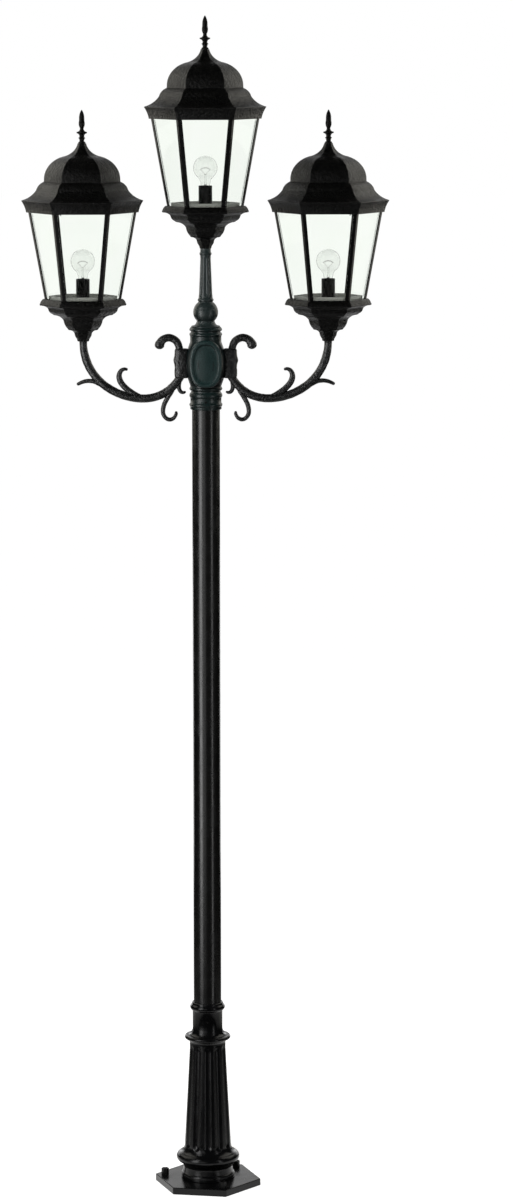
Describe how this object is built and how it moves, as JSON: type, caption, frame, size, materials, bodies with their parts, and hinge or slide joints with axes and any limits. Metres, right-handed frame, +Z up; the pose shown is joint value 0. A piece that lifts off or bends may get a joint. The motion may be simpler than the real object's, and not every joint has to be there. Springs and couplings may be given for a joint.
{
  "type": "triple head lamp post",
  "caption": "Garden lamp post: round pole on a fluted hexagonal-plate base, hub with oval faces, two scrolled arms and three six-sided glass lanterns with domed roofs.",
  "frame": {"origin": "middle of the base plate's underside, on the pole's axis", "axes": "+Z up along the pole; the front with one oval face is -Y; the arms reach along +X and -X"},
  "size_m": [1.0026, 0.288, 3.2599],
  "materials": {
    "casting": "textured black powder coat over cast aluminium",
    "pole_paint": "satin black powder coat over steel tube",
    "plated_steel": "zinc plated",
    "pane_glass": "clear, bevelled",
    "lamp_glass": "clear blown glass",
    "pan_sheet": "pressed sheet, dull",
    "holder_plastic": "moulded black"
  },
  "bodies": {
    "post": {"base": "casting", "hub": "casting", "stem": "casting", "right_arm": "casting", "left_arm": "casting", "pole": "pole_paint", "anchor_nuts": "plated_steel", "set_screws": "plated_steel", "hub_nipples": "plated_steel", "lantern_nipples": "plated_steel", "locknuts": "plated_steel", "centre_cage": "casting", "centre_cup": "casting", "centre_glass_panes": "pane_glass", "centre_roof_hanger": "plated_steel", "centre_drip_pan": "pan_sheet", "centre_lampholder": "holder_plastic", "right_cage": "casting", "right_cup": "casting", "right_glass_panes": "pane_glass", "right_roof_hanger": "plated_steel", "right_drip_pan": "pan_sheet", "right_lampholder": "holder_plastic", "left_cage": "casting", "left_cup": "casting", "left_glass_panes": "pane_glass", "left_roof_hanger": "plated_steel", "left_drip_pan": "pan_sheet", "left_lampholder": "holder_plastic"},
    "centre_roof_body": {"centre_roof": "casting"},
    "centre_finial_body": {"centre_finial": "casting"},
    "centre_lamp_body": {"centre_lamp": "lamp_glass"},
    "right_roof_body": {"right_roof": "casting"},
    "right_finial_body": {"right_finial": "casting"},
    "right_lamp_body": {"right_lamp": "lamp_glass"},
    "left_roof_body": {"left_roof": "casting"},
    "left_finial_body": {"left_finial": "casting"},
    "left_lamp_body": {"left_lamp": "lamp_glass"}
  },
  "joints": [
    {"name": "centre_roof_lift", "type": "slide", "parent": "post", "child": "centre_roof_body", "axis": [0, 0, 1], "range_m": [0, 0.21]},
    {"name": "centre_finial_turn", "type": "hinge", "parent": "centre_roof_body", "child": "centre_finial_body", "pos_m": [0, 0, 3.186], "axis": [0, 0, 1], "continuous": true},
    {"name": "centre_lamp_turn", "type": "hinge", "parent": "post", "child": "centre_lamp_body", "pos_m": [0, 0, 2.777], "axis": [0, 0, 1], "continuous": true},
    {"name": "right_roof_lift", "type": "slide", "parent": "post", "child": "right_roof_body", "axis": [0, 0, 1], "range_m": [0, 0.21]},
    {"name": "right_finial_turn", "type": "hinge", "parent": "right_roof_body", "child": "right_finial_body", "pos_m": [0.335, 0, 2.933], "axis": [0, 0, 1], "continuous": true},
    {"name": "right_lamp_turn", "type": "hinge", "parent": "post", "child": "right_lamp_body", "pos_m": [0.335, 0, 2.524], "axis": [0, 0, 1], "continuous": true},
    {"name": "left_roof_lift", "type": "slide", "parent": "post", "child": "left_roof_body", "axis": [0, 0, 1], "range_m": [0, 0.21]},
    {"name": "left_finial_turn", "type": "hinge", "parent": "left_roof_body", "child": "left_finial_body", "pos_m": [-0.335, 0, 2.933], "axis": [0, 0, 1], "continuous": true},
    {"name": "left_lamp_turn", "type": "hinge", "parent": "post", "child": "left_lamp_body", "pos_m": [-0.335, 0, 2.524], "axis": [0, 0, 1], "continuous": true}
  ]
}
